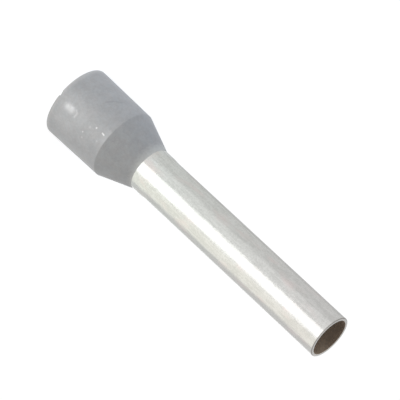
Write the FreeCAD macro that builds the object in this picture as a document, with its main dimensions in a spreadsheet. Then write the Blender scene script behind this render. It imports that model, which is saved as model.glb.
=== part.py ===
import FreeCAD, Part
import os

import Sketcher

# Insulated wire-end ferrule: a tin-plated copper barrel with a moulded collar on its belled end.
# It stands on the collar's mouth. The origin is the centre of that mouth, and +Z runs up the barrel.

# Driving dimensions in millimetres
SIZES = {
    # Collar
    "entry_diameter": 4.8,    # straight bore that takes the wire's insulation
    "collar_wall": 0.4,       # wall at the rim of the mouth
    "skirt_draft": 0.08,      # how much the outside comes in from rim to shoulder, on the radius
    "skirt_length": 4.92,     # mouth to shoulder outside, and mouth to funnel inside
    "cone_length": 2.72,      # shoulder to neck
    "grip_length": 0.6,       # straight land in the neck that grips the barrel
    "neck_lip": 0.03,         # thickness of the thin edge that closes on the barrel
    "rim_round": 0.08,        # outer edge of the mouth
    "entry_round": 0.12,      # inner edge of the mouth
    # Nick in the rim, beside the -Y side
    "nick_offset": 0.1,
    "nick_width": 0.38,
    "nick_depth": 0.065,
    # Barrel
    "barrel_length": 18.0,    # neck to open end
    "barrel_diameter": 3.34,  # straight tube, outside
    "barrel_wall": 0.21,      # the same all along
    "root_swell": 0.04,       # how much belling widened the tube beside the neck, on the radius
    "root_length": 0.8,       # widened stretch outside the neck
    "root_taper": 0.5,        # from there down to the straight tube
    "bell_setback": 0.52,     # edge of the bell above the wide end of the collar's funnel
    "tip_round": 0.07,        # outer edge of the open end
    "bore_round": 0.04,       # inner edge of the open end
    # Gap on the radius between the barrel and its seat in the collar
    "seat_clearance": 0.01,
}

# Heights and radii that follow from them
FUNNEL_HEIGHT = "sizes.skirt_length"
BELL_HEIGHT = f"({FUNNEL_HEIGHT} + sizes.bell_setback)"
NECK_HEIGHT = "(sizes.skirt_length + sizes.cone_length)"
GRIP_HEIGHT = f"({NECK_HEIGHT} - sizes.grip_length)"
ROOT_HEIGHT = f"({NECK_HEIGHT} + sizes.root_length)"
TUBE_HEIGHT = f"({ROOT_HEIGHT} + sizes.root_taper)"
TIP_HEIGHT = f"({NECK_HEIGHT} + sizes.barrel_length)"
ENTRY_RADIUS = "(sizes.entry_diameter / 2)"
RIM_RADIUS = f"({ENTRY_RADIUS} + sizes.collar_wall)"
SHOULDER_RADIUS = f"({RIM_RADIUS} - sizes.skirt_draft)"
BARREL_RADIUS = "(sizes.barrel_diameter / 2)"
BORE_RADIUS = f"({BARREL_RADIUS} - sizes.barrel_wall)"
ROOT_RADIUS = f"({BARREL_RADIUS} + sizes.root_swell)"
ROOT_BORE_RADIUS = f"({ROOT_RADIUS} - sizes.barrel_wall)"
SEAT_RADIUS = f"({ROOT_RADIUS} + sizes.seat_clearance)"
NECK_RADIUS = f"({SEAT_RADIUS} + sizes.neck_lip)"
FUNNEL_SLOPE = f"(({ENTRY_RADIUS} - {SEAT_RADIUS}) / ({GRIP_HEIGHT} - {FUNNEL_HEIGHT}))"
BELL_RADIUS = f"({ROOT_RADIUS} + ({GRIP_HEIGHT} - {BELL_HEIGHT}) * {FUNNEL_SLOPE})"
BELL_BORE_RADIUS = f"({BELL_RADIUS} - sizes.barrel_wall)"

MOUTH = "0"
SAME_PLACE = 1e-6

doc = FreeCAD.newDocument("wire_ferrule")

sheet = doc.addObject("Spreadsheet::Sheet", "sizes")
for row, (alias, value) in enumerate(SIZES.items(), start=1):
    sheet.set(f"A{row}", alias)
    sheet.set(f"B{row}", str(value))
    sheet.setAlias(f"B{row}", alias)
doc.recompute()


def outline(body, name, corners):
    """A closed outline on the body's XZ plane. Each corner is an expression for x and one for z."""
    sketch = body.newObject("Sketcher::SketchObject", name)
    plane = next(feature for feature in body.Origin.OriginFeatures if feature.Role == "XZ_Plane")
    sketch.AttachmentSupport = [(plane, "")]
    sketch.MapMode = "FlatFace"
    points = [FreeCAD.Vector(sketch.evalExpression(x), sketch.evalExpression(z), 0) for x, z in corners]
    for index, point in enumerate(points):
        following = (index + 1) % len(points)
        sketch.addGeometry(Part.LineSegment(point, points[following]), False)
    for index, (point, (x, z)) in enumerate(zip(points, corners)):
        following = (index + 1) % len(points)
        sketch.addConstraint(Sketcher.Constraint("Coincident", index, 2, following, 1))
        across = sketch.addConstraint(Sketcher.Constraint("DistanceX", -1, 1, index, 1, point.x))
        sketch.setExpression(f"Constraints[{across}]", x)
        if z == MOUTH:
            sketch.addConstraint(Sketcher.Constraint("PointOnObject", index, 1, -1))
        else:
            up = sketch.addConstraint(Sketcher.Constraint("DistanceY", -1, 1, index, 1, point.y))
            sketch.setExpression(f"Constraints[{up}]", z)
    return sketch


def turned(label, corners):
    """A body turned about Z from one outline."""
    body = doc.addObject("PartDesign::Body", label)
    body.Label = label
    sketch = outline(body, f"{label}_outline", corners)
    turn = body.newObject("PartDesign::Revolution", f"{label}_turned")
    turn.Profile = sketch
    turn.ReferenceAxis = (sketch, ["V_Axis"])
    turn.Angle = 360
    sketch.Visibility = False
    doc.recompute()
    return body


def rounded(body, name, radius, height, edge_radius):
    """Rounds the one circular edge of the body that has this radius and height."""
    edge_radius_now = body.evalExpression(edge_radius)
    height_now = body.evalExpression(height)
    base = body.Tip
    edges = []
    for number, edge in enumerate(base.Shape.Edges, start=1):
        if not isinstance(edge.Curve, Part.Circle):
            continue
        off_radius = abs(edge.Curve.Radius - edge_radius_now)
        off_height = abs(edge.Curve.Center.z - height_now)
        if max(off_radius, off_height) < SAME_PLACE:
            edges.append(f"Edge{number}")
    if len(edges) != 1:
        raise RuntimeError(f"{name}: {len(edges)} edges where one was meant")
    fillet = body.newObject("PartDesign::Fillet", name)
    fillet.Base = (base, edges)
    fillet.setExpression("Radius", radius)
    doc.recompute()


# Collar: one moulding, drafted outside, with a straight entry and a funnel down to the neck
collar = turned("collar", [
    (ENTRY_RADIUS, MOUTH),
    (RIM_RADIUS, MOUTH),
    (SHOULDER_RADIUS, "sizes.skirt_length"),
    (NECK_RADIUS, NECK_HEIGHT),
    (SEAT_RADIUS, NECK_HEIGHT),
    (SEAT_RADIUS, GRIP_HEIGHT),
    (ENTRY_RADIUS, FUNNEL_HEIGHT),
])
rounded(collar, "rim_edge", "sizes.rim_round", MOUTH, RIM_RADIUS)
rounded(collar, "entry_edge", "sizes.entry_round", MOUTH, ENTRY_RADIUS)

# The nick is a shallow V across the rim's wall on the -Y side
nick_outline = outline(collar, "nick_outline", [
    ("sizes.nick_offset", MOUTH),
    ("sizes.nick_offset + sizes.nick_width", MOUTH),
    ("sizes.nick_offset + sizes.nick_width / 2", "sizes.nick_depth"),
])
nick = collar.newObject("PartDesign::Pocket", "nick")
nick.Profile = nick_outline
nick.Type = "ThroughAll"
nick.Reversed = True
nick_outline.Visibility = False
doc.recompute()
if len(nick.Shape.Faces) <= len(nick.BaseFeature.Shape.Faces):
    raise RuntimeError("the nick cuts nothing from the rim")

# Barrel: one tube of even wall, straight from the open end to the root, then belled into the funnel
barrel = turned("barrel", [
    (BORE_RADIUS, TIP_HEIGHT),
    (BARREL_RADIUS, TIP_HEIGHT),
    (BARREL_RADIUS, TUBE_HEIGHT),
    (ROOT_RADIUS, ROOT_HEIGHT),
    (ROOT_RADIUS, GRIP_HEIGHT),
    (BELL_RADIUS, BELL_HEIGHT),
    (BELL_BORE_RADIUS, BELL_HEIGHT),
    (ROOT_BORE_RADIUS, GRIP_HEIGHT),
    (ROOT_BORE_RADIUS, ROOT_HEIGHT),
    (BORE_RADIUS, TUBE_HEIGHT),
])
rounded(barrel, "tip_edge", "sizes.tip_round", TIP_HEIGHT, BARREL_RADIUS)
rounded(barrel, "bore_edge", "sizes.bore_round", TIP_HEIGHT, BORE_RADIUS)

doc.recompute()
for feature in doc.Objects:
    if "Invalid" in feature.State or "Error" in feature.State:
        raise RuntimeError(f"{feature.Label} did not build: {feature.State}")

os.makedirs("parts", exist_ok=True)
for piece in (collar, barrel):
    if piece.Shape.isNull() or not piece.Shape.isValid():
        raise RuntimeError(f"{piece.Label} has no valid shape")
    piece.Shape.exportStep(os.path.join("parts", f"{piece.Label}.step"))
    print(f"{piece.Label}: {piece.Shape.Volume:.2f} cubic millimetres")
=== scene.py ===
import math

import bpy
from mathutils import Matrix, Vector


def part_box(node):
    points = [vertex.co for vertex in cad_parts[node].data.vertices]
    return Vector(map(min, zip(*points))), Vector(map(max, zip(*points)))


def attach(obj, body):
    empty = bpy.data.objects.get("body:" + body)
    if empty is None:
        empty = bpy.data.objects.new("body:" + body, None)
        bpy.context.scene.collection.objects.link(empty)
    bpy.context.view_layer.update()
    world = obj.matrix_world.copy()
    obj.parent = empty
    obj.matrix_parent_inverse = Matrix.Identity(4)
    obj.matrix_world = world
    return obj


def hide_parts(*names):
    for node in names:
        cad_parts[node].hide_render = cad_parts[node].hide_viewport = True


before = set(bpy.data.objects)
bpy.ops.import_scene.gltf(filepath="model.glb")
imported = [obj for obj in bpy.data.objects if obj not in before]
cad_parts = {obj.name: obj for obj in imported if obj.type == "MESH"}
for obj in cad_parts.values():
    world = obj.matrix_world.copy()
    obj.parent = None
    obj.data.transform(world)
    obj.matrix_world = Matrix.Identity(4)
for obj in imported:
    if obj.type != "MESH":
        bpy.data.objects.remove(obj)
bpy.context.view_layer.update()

# Collar: the grey sleeve that insulates the wire's entry. It is one polypropylene moulding with
# a drafted skirt, a conical shoulder, a thin lip round the metal and a funnel inside. The belled
# end of the barrel sits in the funnel and holds it.
MM = 0.001
collar_low, collar_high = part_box("collar")
RIM_RADIUS = (collar_high.x - collar_low.x) / 2 / MM
NECK_HEIGHT = collar_high.z / MM
MOUTH_HEIGHT = 0.0
SHOULDER_RADIUS = 2.72
SHOULDER_HEIGHT = 4.92
ENTRY_RADIUS = 2.4
GRIP_HEIGHT = 7.04
# The seat is a hair narrower than the barrel's root, so that no gap shows at the lip
SEAT_RADIUS = 1.706
NECK_RADIUS = 1.716
# Each corner has its radius, its height and the rounding of its edge
COLLAR_CORNERS = [
    (ENTRY_RADIUS, MOUTH_HEIGHT, 0.12),
    (RIM_RADIUS, MOUTH_HEIGHT, 0.08),
    (SHOULDER_RADIUS, SHOULDER_HEIGHT, 0.07),
    (NECK_RADIUS, NECK_HEIGHT, 0.004),
    (SEAT_RADIUS, NECK_HEIGHT, 0.004),
    (SEAT_RADIUS, GRIP_HEIGHT, 0.1),
    (ENTRY_RADIUS, SHOULDER_HEIGHT, 0.1),
]
COLLAR_STEPS_ROUND = 540
COLLAR_RUN = 0.25
# The nick in the rim slopes up along x, falls off steeply, and fades out up the skirt
NICK_START = 0.05
NICK_DEEPEST = 0.43
NICK_END = 0.46
NICK_DEPTH = 0.1
NICK_REACH = 0.4


def outline(corners, longest_run):
    """Points of a closed outline in millimetres, from corners of radius, height and rounding."""
    arc_steps = 8
    longest_hold = 0.02
    arcs = []
    for index, (radius, height, rounding) in enumerate(corners):
        here = Vector((radius, height))
        back = (Vector(corners[index - 1][:2]) - here).normalized()
        ahead = (Vector(corners[(index + 1) % len(corners)][:2]) - here).normalized()
        opening = back.angle(ahead)
        centre = here + (back + ahead).normalized() * (rounding / math.sin(opening / 2))
        spoke = here + back * (rounding / math.tan(opening / 2)) - centre
        turn = math.copysign(math.pi - opening, ahead.cross(back))
        angles = [turn * step / arc_steps for step in range(arc_steps + 1)]
        arcs.append([centre + Matrix.Rotation(angle, 2) @ spoke for angle in angles])
    points = []
    for arc, following in zip(arcs, arcs[1:] + arcs[:1]):
        points.extend(arc)
        # A short step beside each rounding keeps its shading off the straight run
        straight = following[0] - arc[-1]
        hold = straight.normalized() * min(longest_hold, straight.length / 4)
        start = arc[-1] + hold
        end = following[0] - hold
        parts = max(1, math.ceil((end - start).length / longest_run))
        points.extend(start.lerp(end, part / parts) for part in range(parts + 1))
    return points


class Value:
    """A number that a tree works out. An expression on it adds the tree's Math nodes."""

    def __init__(self, tree, socket):
        self.tree = tree
        self.socket = socket

    def math(self, operation, first, second):
        return self.tree.node("ShaderNodeMath", {"operation": operation}, {0: first, 1: second})

    def __add__(self, other):
        return self.math("ADD", self, other)

    def __radd__(self, other):
        return self.math("ADD", other, self)

    def __sub__(self, other):
        return self.math("SUBTRACT", self, other)

    def __rsub__(self, other):
        return self.math("SUBTRACT", other, self)

    def __mul__(self, other):
        return self.math("MULTIPLY", self, other)

    def __rmul__(self, other):
        return self.math("MULTIPLY", other, self)

    def __truediv__(self, other):
        return self.math("DIVIDE", self, other)

    def __rtruediv__(self, other):
        return self.math("DIVIDE", other, self)

    def __lt__(self, other):
        return self.math("LESS_THAN", self, other)

    def smaller(self, other):
        return self.math("MINIMUM", self, other)

    def larger(self, other):
        return self.math("MAXIMUM", self, other)

    def rise(self, low, high):
        """0 below low, 1 above high, and smooth between."""
        limits = {"Value": self, "From Min": low, "From Max": high}
        return self.tree.node("ShaderNodeMapRange", {"interpolation_type": "SMOOTHSTEP"}, limits)


class Tree:
    """A material, world or geometry tree. Each of its nodes is added by the one method."""

    def __init__(self, made):
        self.made = made
        made.nodes.clear()

    def node(self, kind, settings=None, values=None, output=0):
        """A new node with its settings, the values or links of its sockets, and one output."""
        node = self.made.nodes.new(kind)
        for name, setting in (settings or {}).items():
            setattr(node, name, setting)
        for name, value in (values or {}).items():
            if isinstance(value, Value):
                self.made.links.new(value.socket, node.inputs[name])
            else:
                node.inputs[name].default_value = value
        return Value(self, node.outputs[output]) if node.outputs else None

    def entry(self, **kinds):
        """The named inputs of a geometry tree, as values."""
        for name, kind in kinds.items():
            self.made.interface.new_socket(name, in_out="INPUT", socket_type=kind)
        group = self.made.nodes.new("NodeGroupInput")
        return [Value(self, group.outputs[name]) for name in kinds]

    def leave(self, geometry):
        """Ends a geometry tree."""
        self.made.interface.new_socket("Geometry", in_out="OUTPUT", socket_type="NodeSocketGeometry")
        self.node("NodeGroupOutput", None, {0: geometry})

    def parts(self, vector):
        """The x, y and z of a vector."""
        split = self.node("ShaderNodeSeparateXYZ", None, {0: vector}).socket.node
        return [Value(self, socket) for socket in split.outputs]


# A tree that turns an outline, drawn in x and z, about the z axis
turning = Tree(bpy.data.node_groups.new("turned about the axis", "GeometryNodeTree"))
drawn, steps_round, ring_radius = turning.entry(
    Outline="NodeSocketGeometry",
    Steps="NodeSocketInt",
    Ring="NodeSocketFloat",
)
drawn_x, _, drawn_z = turning.parts(turning.node("GeometryNodeInputPosition"))
laid = turning.node("ShaderNodeCombineXYZ", None, {"X": drawn_x - ring_radius, "Y": drawn_z * -1.0})
drawn = turning.node("GeometryNodeSetPosition", None, {"Geometry": drawn, "Position": laid})
drawn = turning.node("GeometryNodeMeshToCurve", None, {"Mesh": drawn})
ring = turning.node(
    "GeometryNodeCurvePrimitiveCircle",
    None,
    {"Resolution": steps_round, "Radius": ring_radius},
)
solid = turning.node("GeometryNodeCurveToMesh", None, {"Curve": ring, "Profile Curve": drawn})
solid = turning.node("GeometryNodeFlipFaces", None, {"Mesh": solid})
turning.leave(turning.node("GeometryNodeSetShadeSmooth", None, {"Geometry": solid}))


def turned_piece(name, points, tree, **sizes):
    """A plain mesh object, turned from its outline by the tree."""
    mesh = bpy.data.meshes.new(name)
    corners = [(radius * MM, 0.0, height * MM) for radius, height in points]
    edges = [(index, (index + 1) % len(corners)) for index in range(len(corners))]
    mesh.from_pydata(corners, edges, [])
    piece = bpy.data.objects.new(name, mesh)
    bpy.context.scene.collection.objects.link(piece)
    modifier = piece.modifiers.new("turning", "NODES")
    modifier.node_group = tree.made
    for socket in tree.made.interface.items_tree:
        if socket.in_out == "INPUT" and socket.name in sizes:
            modifier[socket.identifier] = sizes[socket.name]
    shown = bpy.context.evaluated_depsgraph_get()
    piece_mesh = bpy.data.meshes.new_from_object(piece.evaluated_get(shown), depsgraph=shown)
    piece.modifiers.remove(modifier)
    piece.data = piece_mesh
    bpy.data.meshes.remove(mesh)
    piece_mesh.name = name
    return piece


# The collar's tree turns the outline, then lifts the rim's edge on the -Y side to make the nick
nicked = Tree(bpy.data.node_groups.new("collar with its nick", "GeometryNodeTree"))
drawn, steps_round, ring_radius, start, deepest, end, depth, reach, plastic = nicked.entry(
    Outline="NodeSocketGeometry",
    Steps="NodeSocketInt",
    Ring="NodeSocketFloat",
    Start="NodeSocketFloat",
    Deepest="NodeSocketFloat",
    End="NodeSocketFloat",
    Depth="NodeSocketFloat",
    Reach="NodeSocketFloat",
    Finish="NodeSocketMaterial",
)
solid = nicked.node(
    "GeometryNodeGroup",
    {"node_tree": turning.made},
    {"Outline": drawn, "Steps": steps_round, "Ring": ring_radius},
)
x, y, z = nicked.parts(nicked.node("GeometryNodeInputPosition"))
across = ((x - start) / (deepest - start)).smaller((end - x) / (end - deepest)).larger(0.0)
up = (1.0 - z / reach).larger(0.0)
lift = nicked.node("ShaderNodeCombineXYZ", None, {"Z": depth * across * up * (y < 0.0)})
solid = nicked.node("GeometryNodeSetPosition", None, {"Geometry": solid, "Offset": lift})
solid = nicked.node("GeometryNodeRealizeInstances", None, {"Geometry": solid})
nicked.leave(nicked.node("GeometryNodeSetMaterial", None, {"Geometry": solid, "Material": plastic}))


def new_finish(name):
    """An empty material and its tree."""
    material = bpy.data.materials.new(name)
    material.use_nodes = True
    return material, Tree(material.node_tree)


def blended(tree, share, first, second):
    """A colour between two colours."""
    return tree.node("ShaderNodeMix", {"data_type": "RGBA"}, {0: share, 6: first, 7: second}, 2)


def tinted(tree, share, colour, tint):
    """A colour multiplied by this share of a tint."""
    settings = {"data_type": "RGBA", "blend_type": "MULTIPLY"}
    return tree.node("ShaderNodeMix", settings, {0: share, 6: colour, 7: tint}, 2)


def place_in_mm(tree):
    """The place on the piece, in millimetres."""
    place = tree.node("ShaderNodeTexCoord", None, None, 3)
    return tree.node("ShaderNodeVectorMath", {"operation": "SCALE"}, {0: place, "Scale": 1.0 / MM})


def noise(tree, place, scale, detail=3.0, roughness=0.5):
    """Noise from 0 to 1 about 0.5, with so many blotches to the millimetre."""
    values = {"Vector": place, "Scale": scale, "Detail": detail, "Roughness": roughness}
    return tree.node("ShaderNodeTexNoise", None, values)


def on_skirt(bearing, height):
    """A place on the skirt's outside. The bearing is in degrees from -Y towards +X."""
    radius = RIM_RADIUS + (SHOULDER_RADIUS - RIM_RADIUS) * height / SHOULDER_HEIGHT
    angle = math.radians(bearing)
    return Vector((radius * math.sin(angle), -radius * math.cos(angle), height))


def spot(tree, place, centre, size):
    """1 within half of the size round a centre, and 0 beyond the size."""
    away = tree.node("ShaderNodeVectorMath", {"operation": "DISTANCE"}, {0: place, 1: centre}, 1)
    return 1.0 - away.rise(size / 2, size)


def streak(tree, place, first, last, width):
    """1 on the line between two places, fading to 0 at the width from it."""
    run = last - first
    offset = tree.node("ShaderNodeVectorMath", {"operation": "SUBTRACT"}, {0: place, 1: first})
    along = tree.node("ShaderNodeVectorMath", {"operation": "DOT_PRODUCT"}, {0: offset, 1: run}, 1)
    share = (along / run.length_squared).larger(0.0).smaller(1.0)
    nearest = tree.node("ShaderNodeVectorMath", {"operation": "SCALE"}, {0: run, "Scale": share})
    away = tree.node("ShaderNodeVectorMath", {"operation": "DISTANCE"}, {0: offset, 1: nearest}, 1)
    return 1.0 - away.rise(0.0, width)


# The plastic's mottling has three sizes, and some of its patches are cooler in tone
PLASTIC_DARK = (0.348, 0.345, 0.344, 1)
PLASTIC_PALE = (0.421, 0.417, 0.412, 1)
COOL_TINT = (0.978, 1.0, 1.012, 1)
plastic, grey = new_finish("grey polypropylene")
place = place_in_mm(grey)
x, _, z = grey.parts(place)
blotches = noise(grey, place, scale=1.3, detail=2.0)
tones = noise(grey, place, scale=2.6, detail=2.0)
mottle = noise(grey, place, scale=5.0)
fine_mottle = noise(grey, place, scale=12.0, roughness=0.6)
grain = noise(grey, place, scale=22.0, detail=2.0)
patchiness = (blotches * 0.35 + mottle * 0.33 + fine_mottle * 0.32).rise(0.34, 0.66)
colour = blended(grey, patchiness, PLASTIC_DARK, PLASTIC_PALE)
colour = tinted(grey, tones.rise(0.4, 0.6), colour, COOL_TINT)

# Painted shade: the shoulder's cone, which faces up, is painted darker, least on its -X side
CONE_PAINTED_SHADE = (0.915, 0.915, 0.912, 1)
on_cone = z.rise(SHOULDER_HEIGHT - 0.03, SHOULDER_HEIGHT + 0.05)
colour = tinted(grey, on_cone * x.rise(-2.5, 0.3), colour, CONE_PAINTED_SHADE)

# Painted highlight: the rim's rounded edge is painted paler, where it catches the light
RIM_HIGHLIGHT_COLOUR = (0.62, 0.62, 0.605, 1)
RIM_HIGHLIGHT_SHARE = 0.5
rim_highlight = 1.0 - z.rise(MOUTH_HEIGHT, 0.6)
colour = blended(grey, rim_highlight * rim_highlight * RIM_HIGHLIGHT_SHARE, colour, RIM_HIGHLIGHT_COLOUR)

# The lip is thin, and the metal shows through it
LIP_COLOUR = (0.56, 0.56, 0.53, 1)
thin = (z + mottle * 0.3 - x * 0.12).rise(NECK_HEIGHT - 0.45, NECK_HEIGHT + 0.35)
colour = blended(grey, thin, colour, LIP_COLOUR)

# A smoother scuff beside the nick with a curved tail, its glint a painted highlight in white, and a
# painted sheen strip below the shoulder. Their ragged edges come from shifting the places a little by
# noise.
GLINT_AND_SPECK_WHITE = (0.86, 0.86, 0.85, 1)
RAGGEDNESS = 0.22
SCUFF_WIDTH = 0.44
SCUFF_GLINT_WHITENESS = 0.48
TAIL_WIDTH = 0.14
TAIL_GLINT_WHITENESS = 0.26
SHEEN_STRIP_WIDTH = 0.5
SHEEN_STRIP_WHITENESS = 0.12
wobble = grey.node("ShaderNodeTexNoise", None, {"Vector": place, "Scale": 5.0}, 1)
ragged = grey.node(
    "ShaderNodeVectorMath",
    {"operation": "MULTIPLY_ADD"},
    {0: wobble, 1: (RAGGEDNESS, RAGGEDNESS, RAGGEDNESS), 2: place},
)
SHIFT = Vector((RAGGEDNESS / 2, RAGGEDNESS / 2, RAGGEDNESS / 2))
scuff_start = on_skirt(13.0, 1.08) + SHIFT
scuff_end = on_skirt(12.9, 1.45) + SHIFT
tail_start = on_skirt(9.5, 1.82) + SHIFT
tail_bend = on_skirt(12.0, 1.97) + SHIFT
tail_end = on_skirt(18.0, 1.97) + SHIFT
sheen_strip_start = on_skirt(3.0, 4.8) + SHIFT
sheen_strip_end = on_skirt(14.0, 4.75) + SHIFT
scuff = streak(grey, ragged, scuff_start, scuff_end, SCUFF_WIDTH)
tail = streak(grey, ragged, tail_start, tail_bend, TAIL_WIDTH)
tail = tail.larger(streak(grey, ragged, tail_bend, tail_end, TAIL_WIDTH))
smooth_scuff_and_glint = (scuff * SCUFF_GLINT_WHITENESS).larger(tail * TAIL_GLINT_WHITENESS)
# The glint on the scuff and its tail is painted white into the colour
colour = blended(grey, smooth_scuff_and_glint * (0.6 + mottle * 0.8), colour, GLINT_AND_SPECK_WHITE)
# Painted sheen: a pale strip painted below the shoulder, where the skirt catches the light
painted_sheen_strip = streak(grey, ragged, sheen_strip_start, sheen_strip_end, SHEEN_STRIP_WIDTH)
painted_sheen_strip = painted_sheen_strip * (1.0 - on_cone)
colour = blended(grey, painted_sheen_strip * SHEEN_STRIP_WHITENESS, colour, GLINT_AND_SPECK_WHITE)

# A dark line runs across the -X side of the skirt, with a bend in it
DARK_LINE_COLOUR = (0.27, 0.275, 0.28, 1)
DARK_LINE_WIDTH = 0.12
DARK_LINE_DARKNESS = 0.4
dark_line_bend = on_skirt(-38.6, 3.07)
dark_line = streak(grey, place, on_skirt(-29.4, 2.84), dark_line_bend, DARK_LINE_WIDTH)
dark_line = dark_line.larger(streak(grey, place, dark_line_bend, on_skirt(-49.7, 3.45), DARK_LINE_WIDTH))
colour = blended(grey, dark_line * DARK_LINE_DARKNESS, colour, DARK_LINE_COLOUR)

# White specks. Each has its bearing, height, size and whiteness.
SPECKS = [
    (7.9, 3.80, 0.085, 0.6),
    (7.8, 4.40, 0.075, 0.7),
    (8.1, 4.49, 0.075, 0.8),
    (8.4, 4.57, 0.075, 0.7),
    (26.2, 3.11, 0.08, 0.4),
    (34.1, 3.27, 0.1, 0.2),
    (13.8, 3.37, 0.13, 0.15),
    (22.3, 4.40, 0.1, 0.15),
]
for bearing, height, size, whiteness in SPECKS:
    speck = spot(grey, place, on_skirt(bearing, height), size)
    colour = blended(grey, speck * whiteness, colour, GLINT_AND_SPECK_WHITE)

# The moulding is satin, with a fine grain. The scuff is smoother.
GRAIN_RELIEF = 0.004
PLASTIC_IOR = 1.45
roughness = 0.42 + mottle * 0.1 - smooth_scuff_and_glint * 0.25
bump = grey.node(
    "ShaderNodeBump",
    None,
    {"Strength": 0.5, "Distance": GRAIN_RELIEF * MM, "Height": grain + mottle * 2.0},
)
shader = grey.node(
    "ShaderNodeBsdfPrincipled",
    None,
    {"Base Color": colour, "Roughness": roughness, "Normal": bump, "IOR": PLASTIC_IOR},
)
grey.node("ShaderNodeOutputMaterial", None, {"Surface": shader})

collar = turned_piece(
    "grey_collar",
    outline(COLLAR_CORNERS, COLLAR_RUN),
    nicked,
    Steps=COLLAR_STEPS_ROUND,
    Ring=RIM_RADIUS * MM,
    Start=NICK_START * MM,
    Deepest=NICK_DEEPEST * MM,
    End=NICK_END * MM,
    Depth=NICK_DEPTH * MM,
    Reach=NICK_REACH * MM,
    Finish=plastic,
)
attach(collar, "root")
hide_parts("collar")

# Barrel: the metal tube that is crimped on the strands. It is drawn copper tube, cut square,
# tin plated inside and out, and belled at its lower end, where the collar grips it.
_, barrel_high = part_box("barrel")
TIP_HEIGHT = barrel_high.z / MM
BARREL_RADIUS = 1.67
BORE_RADIUS = 1.46
WALL = BARREL_RADIUS - BORE_RADIUS
ROOT_RADIUS = 1.71
ROOT_HEIGHT = 8.44
TUBE_HEIGHT = 8.94
ROOT_ROUNDING = 3.0
BELL_RADIUS = 2.22
BELL_HEIGHT = 5.44
BELL_ROUNDING = 0.3
BELL_EDGE = 0.03
BARREL_CORNERS = [
    (BORE_RADIUS, TIP_HEIGHT, 0.04),
    (BORE_RADIUS, TUBE_HEIGHT, ROOT_ROUNDING),
    (ROOT_RADIUS - WALL, ROOT_HEIGHT, ROOT_ROUNDING),
    (ROOT_RADIUS - WALL, GRIP_HEIGHT, BELL_ROUNDING),
    (BELL_RADIUS - WALL, BELL_HEIGHT, BELL_EDGE),
    (BELL_RADIUS, BELL_HEIGHT, BELL_EDGE),
    (ROOT_RADIUS, GRIP_HEIGHT, BELL_ROUNDING),
    (ROOT_RADIUS, ROOT_HEIGHT, ROOT_ROUNDING),
    (BARREL_RADIUS, TUBE_HEIGHT, ROOT_ROUNDING),
    (BARREL_RADIUS, TIP_HEIGHT, 0.07),
]
BARREL_STEPS_ROUND = 320
BARREL_RUN = 0.6

plain = Tree(bpy.data.node_groups.new("barrel", "GeometryNodeTree"))
drawn, steps_round, ring_radius, tin = plain.entry(
    Outline="NodeSocketGeometry",
    Steps="NodeSocketInt",
    Ring="NodeSocketFloat",
    Finish="NodeSocketMaterial",
)
solid = plain.node(
    "GeometryNodeGroup",
    {"node_tree": turning.made},
    {"Outline": drawn, "Steps": steps_round, "Ring": ring_radius},
)
solid = plain.node("GeometryNodeRealizeInstances", None, {"Geometry": solid})
plain.leave(plain.node("GeometryNodeSetMaterial", None, {"Geometry": solid, "Material": tin}))

# Drawing left fine lines along the tube. The plating is cloudy, with small pits. Each of these
# patterns has its blotches to the millimetre along x, y and z.
LINES = (9.0, 9.0, 0.45)
WAVES = (2.4, 2.4, 0.35)
CLOUDS = (3.2, 3.2, 1.1)
tin_plate, metal = new_finish("tin plate on copper")
place = place_in_mm(metal)
x, y, z = metal.parts(place)
lengthwise = metal.node("ShaderNodeVectorMath", {"operation": "MULTIPLY"}, {0: place, 1: LINES})
slow = metal.node("ShaderNodeVectorMath", {"operation": "MULTIPLY"}, {0: place, 1: WAVES})
cloudy = metal.node("ShaderNodeVectorMath", {"operation": "MULTIPLY"}, {0: place, 1: CLOUDS})
lines = noise(metal, lengthwise, scale=1.0)
waves = noise(metal, slow, scale=1.0, detail=2.0)
clouds = noise(metal, cloudy, scale=1.0, detail=4.0, roughness=0.6)
hues = noise(metal, cloudy, scale=0.45, detail=2.0)
pits = noise(metal, place, scale=7.0)
stains = noise(metal, place, scale=1.6)

TIN_DARK = (0.462, 0.474, 0.449, 1)
TIN_PALE = (0.542, 0.555, 0.529, 1)
TIN_ROSY = (0.55, 0.515, 0.49, 1)
ROSINESS = 0.8
patchiness = (lines * 0.3 + clouds * 0.35 + pits * 0.35).rise(0.39, 0.61)
colour = blended(metal, patchiness, TIN_DARK, TIN_PALE)
colour = blended(metal, hues.rise(0.5, 0.75) * ROSINESS, colour, TIN_ROSY)

# Towards the open end the plating is less green
TIP_TINT = (1.0, 0.967, 0.99, 1)
colour = tinted(metal, z.rise(NECK_HEIGHT, TIP_HEIGHT), colour, TIP_TINT)

# The bore is stained brown, and paler further in and towards its +X side
BORE_DARK = (0.26, 0.205, 0.16, 1)
BORE_PALE = (0.46, 0.385, 0.31, 1)
BORE_DEPTH = 1.4
radius = metal.node("ShaderNodeMath", {"operation": "SQRT"}, {0: x * x + y * y})
in_bore = 1.0 - radius.rise(BORE_RADIUS, BORE_RADIUS + 0.02)
deep = 1.0 - z.rise(TIP_HEIGHT - BORE_DEPTH, TIP_HEIGHT)
bore_paleness = deep * 0.8 + (x + x * x) * 0.5 + stains * 0.7 - 0.33
colour = blended(metal, in_bore, colour, blended(metal, bore_paleness, BORE_DARK, BORE_PALE))

# The sheared outer edge of the open end is duller and darker
EDGE_COLOUR = (0.24, 0.225, 0.21, 1)
EDGE_DARKNESS = 0.8
at_outside = radius.rise(BARREL_RADIUS - 0.07, BARREL_RADIUS - 0.03)
at_end = z.rise(TIP_HEIGHT - 0.09, TIP_HEIGHT - 0.05)
edge = at_outside * at_end
colour = blended(metal, edge * EDGE_DARKNESS, colour, EDGE_COLOUR)

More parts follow.
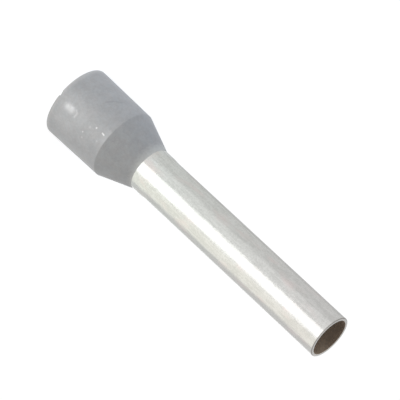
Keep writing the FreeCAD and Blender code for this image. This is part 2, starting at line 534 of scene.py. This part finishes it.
# The plating is bright, a little less so seen along its surface, and its relief is very fine
GLANCING_TINT = (0.86, 0.86, 0.86, 1)
METAL_RELIEF = 0.004
roughness = 0.22 + lines * 0.08 + in_bore * 0.4 + edge * 0.2
relief = lines * 0.8 + waves * 1.0 + clouds * 1.4 + pits * 2.0
bump = metal.node(
    "ShaderNodeBump",
    None,
    {"Strength": 0.6, "Distance": METAL_RELIEF * MM, "Height": relief},
)
shader = metal.node(
    "ShaderNodeBsdfPrincipled",
    None,
    {
        "Base Color": colour,
        "Metallic": 1.0,
        "Specular Tint": GLANCING_TINT,
        "Roughness": roughness,
        "Normal": bump,
    },
)
metal.node("ShaderNodeOutputMaterial", None, {"Surface": shader})

barrel = turned_piece(
    "tinned_barrel",
    outline(BARREL_CORNERS, BARREL_RUN),
    plain,
    Steps=BARREL_STEPS_ROUND,
    Ring=BARREL_RADIUS * MM,
    Finish=tin_plate,
)
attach(barrel, "root")
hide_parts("barrel")

# Floor and surroundings: a pale table that the ferrule stands on, in a plain white room. Both
# look white to the camera and in reflections, and the floor keeps the shadow.
FLOOR_REACH = 1500.0
FLOOR_COLOUR = (0.9, 0.9, 0.9, 1)
FLOOR_LIFT = 0.6
WHITE = (1, 1, 1, 1)
ROOM_LIGHT = (0.36, 0.361, 0.363, 1)


def seen(tree):
    """1 for a ray from the camera, a reflection or a clear material, otherwise 0."""
    ray = tree.node("ShaderNodeLightPath").socket.node
    camera, glossy, clear = [
        Value(tree, ray.outputs[name])
        for name in ("Is Camera Ray", "Is Glossy Ray", "Is Transmission Ray")
    ]
    return camera.larger(glossy).larger(clear)


def sheet(name, corners, material):
    """A flat sheet with its four corners in millimetres."""
    mesh = bpy.data.meshes.new(name)
    mesh.from_pydata([Vector(corner) * MM for corner in corners], [], [(0, 1, 2, 3)])
    mesh.materials.append(material)
    made = bpy.data.objects.new(name, mesh)
    bpy.context.scene.collection.objects.link(made)
    return made


table_top, pale = new_finish("pale table")
matt = pale.node("ShaderNodeBsdfDiffuse", None, {"Color": FLOOR_COLOUR})
lift = pale.node("ShaderNodeEmission", None, {"Color": WHITE, "Strength": FLOOR_LIFT})
lifted = pale.node("ShaderNodeAddShader", None, {0: matt, 1: lift})
shader = pale.node("ShaderNodeMixShader", None, {0: seen(pale), 1: matt, 2: lifted})
pale.node("ShaderNodeOutputMaterial", None, {"Surface": shader})
floor_corners = [(-FLOOR_REACH, -FLOOR_REACH, 0), (FLOOR_REACH, -FLOOR_REACH, 0)]
floor_corners += [(FLOOR_REACH, FLOOR_REACH, 0), (-FLOOR_REACH, FLOOR_REACH, 0)]
sheet("floor", floor_corners, table_top)

room = bpy.data.worlds.new("white room")
room.use_nodes = True
bpy.context.scene.world = room
air = Tree(room.node_tree)
dim = air.node("ShaderNodeBackground", None, {"Color": ROOM_LIGHT, "Strength": 1.0})
white = air.node("ShaderNodeBackground", None, {"Color": WHITE, "Strength": 1.0})
surroundings = air.node("ShaderNodeMixShader", None, {0: seen(air), 1: dim, 2: white})
air.node("ShaderNodeOutputWorld", None, {"Surface": surroundings})

# Lamps: upright cards and a grey screen, which the bright metal mirrors as its bands, a round
# light and two boards on the table, two large soft cards, and a window overhead. The bearings
# are in degrees from -Y towards +X, and no lamp shows to the camera.
WHITE_LIGHT = (1.0, 1.0, 1.0)


def panel(name, width, height, glow, colour):
    """A flat lamp of this size in millimetres. A glow of 1 looks white."""
    light = bpy.data.lights.new(name, "AREA")
    light.shape = "RECTANGLE"
    light.size = width * MM
    light.size_y = height * MM
    light.energy = glow * math.pi * light.size * light.size_y
    light.color = colour
    lamp = bpy.data.objects.new(name, light)
    bpy.context.scene.collection.objects.link(lamp)
    return lamp


def kept_for(piece):
    """A collection that keeps a lamp's light for this piece."""
    collection = bpy.data.collections.new("light for " + piece.name)
    collection.objects.link(piece)
    return collection


metal_alone = kept_for(barrel)


def upright_card(name, first, last, glow, colour, height=28.0):
    """A card that stands round the barrel from one bearing to another, for its reflection alone."""
    distance = 15.0
    middle = math.radians((first + last) / 2)
    half = math.radians((last - first) / 2)
    card = panel(name, 2 * distance * math.tan(half), height, glow, colour)
    card.location = Vector((distance * math.sin(middle), -distance * math.cos(middle), height / 2)) * MM
    card.rotation_euler = (math.radians(90), 0, middle)
    card.visible_diffuse = False
    card.light_linking.receiver_collection = metal_alone


upright_card("bright_card", -5.5, 40.5, 1.3, WHITE_LIGHT)
upright_card("low_card", -3.0, 43.0, 0.8, (1.0, 0.99, 0.97), height=4.5)
upright_card("warm_card", 44.5, 98.5, 0.5, (1.0, 0.95, 0.79))
upright_card("faint_card", -50.5, -13.0, 0.25, WHITE_LIGHT)
upright_card("back_card", 148.0, 172.0, 0.8, WHITE_LIGHT)

# The grey screen stands behind, and only reflections see it
SCREEN_GREY = (0.86, 0.86, 0.86, 1)
SCREEN_BEARING = math.radians(-158)
SCREEN_DISTANCE = 22.0
SCREEN_HALF = 10.5
SCREEN_HEIGHT = 32.0
screen_grey, screen_tree = new_finish("grey screen")
glow = screen_tree.node("ShaderNodeEmission", None, {"Color": SCREEN_GREY, "Strength": 1.0})
screen_tree.node("ShaderNodeOutputMaterial", None, {"Surface": glow})
sideways = Vector((math.cos(SCREEN_BEARING), math.sin(SCREEN_BEARING), 0)) * SCREEN_HALF
foot = Vector((math.sin(SCREEN_BEARING), -math.cos(SCREEN_BEARING), 0)) * SCREEN_DISTANCE
head = foot + Vector((0, 0, SCREEN_HEIGHT))
screen_corners = [foot + sideways, foot - sideways, head - sideways, head + sideways]
screen = sheet("screen", screen_corners, screen_grey)
screen.visible_camera = False
screen.visible_diffuse = False
screen.visible_shadow = False

# The round light lies on the table round the foot, and faces up. A disk has pi / 4 of its
# square's area.
FOOT_LIGHT_SIZE = 60.0
FOOT_LIGHT_GLOW = 0.68
FOOT_LIGHT_HEIGHT = 0.02
foot_light = panel("foot_light", FOOT_LIGHT_SIZE, FOOT_LIGHT_SIZE, FOOT_LIGHT_GLOW, WHITE_LIGHT)
foot_light.data.shape = "DISK"
foot_light.data.energy *= math.pi / 4
foot_light.location.z = FOOT_LIGHT_HEIGHT * MM
foot_light.rotation_euler.x = math.pi
foot_light.visible_glossy = False


def soft_card(name, bearing, glow, colour):
    """A large upright card at this bearing that gives soft light and no reflection."""
    size = 30.0
    angle = math.radians(bearing)
    card = panel(name, size, size, glow, colour)
    card.location = Vector((size / 2 * math.sin(angle), -size / 2 * math.cos(angle), size / 2)) * MM
    card.rotation_euler = (math.radians(90), 0, angle)
    card.visible_glossy = False


soft_card("cool_card", -85, 0.17, (0.45, 0.87, 1.58))
soft_card("front_card", 15, 0.22, WHITE_LIGHT)


def low_board(name, bearing, near, width, glow, colour):
    """A board that lies on the table and points away from the collar at this bearing."""
    length = 22.0
    lying_height = 0.03
    angle = math.radians(bearing)
    middle = near + length / 2
    board = panel(name, width, length, glow, colour)
    board.location = Vector((middle * math.sin(angle), -middle * math.cos(angle), lying_height)) * MM
    board.rotation_euler = (math.pi, 0, angle)
    return board


# One board gives the skirt its sheen, and the other lights the collar's side from below
sheen_board = low_board("sheen_board", 22, 3.4, 8.0, 3.8, (1.0, 0.99, 0.97))
sheen_board.visible_diffuse = False
sheen_board.light_linking.receiver_collection = kept_for(collar)
side_board = low_board("side_board", 65, 7.0, 26.0, 0.35, (1.0, 0.98, 0.94))
side_board.visible_glossy = False

WINDOW_GLOW = 0.13
window = bpy.data.lights.new("window", "SUN")
window.energy = WINDOW_GLOW * math.pi
window.angle = math.radians(50)
window_lamp = bpy.data.objects.new("window", window)
window_lamp.rotation_euler = (math.radians(25), math.radians(-5), 0)
bpy.context.scene.collection.objects.link(window_lamp)

# Camera: a long lens that looks down a little from the -Y side. It is rolled so that the
# collar is at the upper left and the barrel runs to the lower right, as in the photo.
CAMERA_AIM = Vector((-0.836, 0.0, 11.953)) * MM
CAMERA_DISTANCE = 224.41 * MM
CAMERA_ELEVATION = math.radians(22.982)
CAMERA_ROLL = math.radians(132.907)
CAMERA_LENS = 295.29
lens = bpy.data.cameras.new("camera")
lens.lens = CAMERA_LENS
lens.sensor_width = 36.0
lens.clip_start = 0.01
lens.clip_end = 10.0
camera = bpy.data.objects.new("camera", lens)
away = Vector((0.0, -math.cos(CAMERA_ELEVATION), math.sin(CAMERA_ELEVATION)))
tilt = Matrix.Rotation(math.pi / 2 - CAMERA_ELEVATION, 4, "X")
roll = Matrix.Rotation(CAMERA_ROLL, 4, "Z")
camera.matrix_world = Matrix.Translation(CAMERA_AIM + away * CAMERA_DISTANCE) @ tilt @ roll
bpy.context.scene.collection.objects.link(camera)
bpy.context.scene.camera = camera
bpy.context.scene.view_settings.view_transform = "Standard"
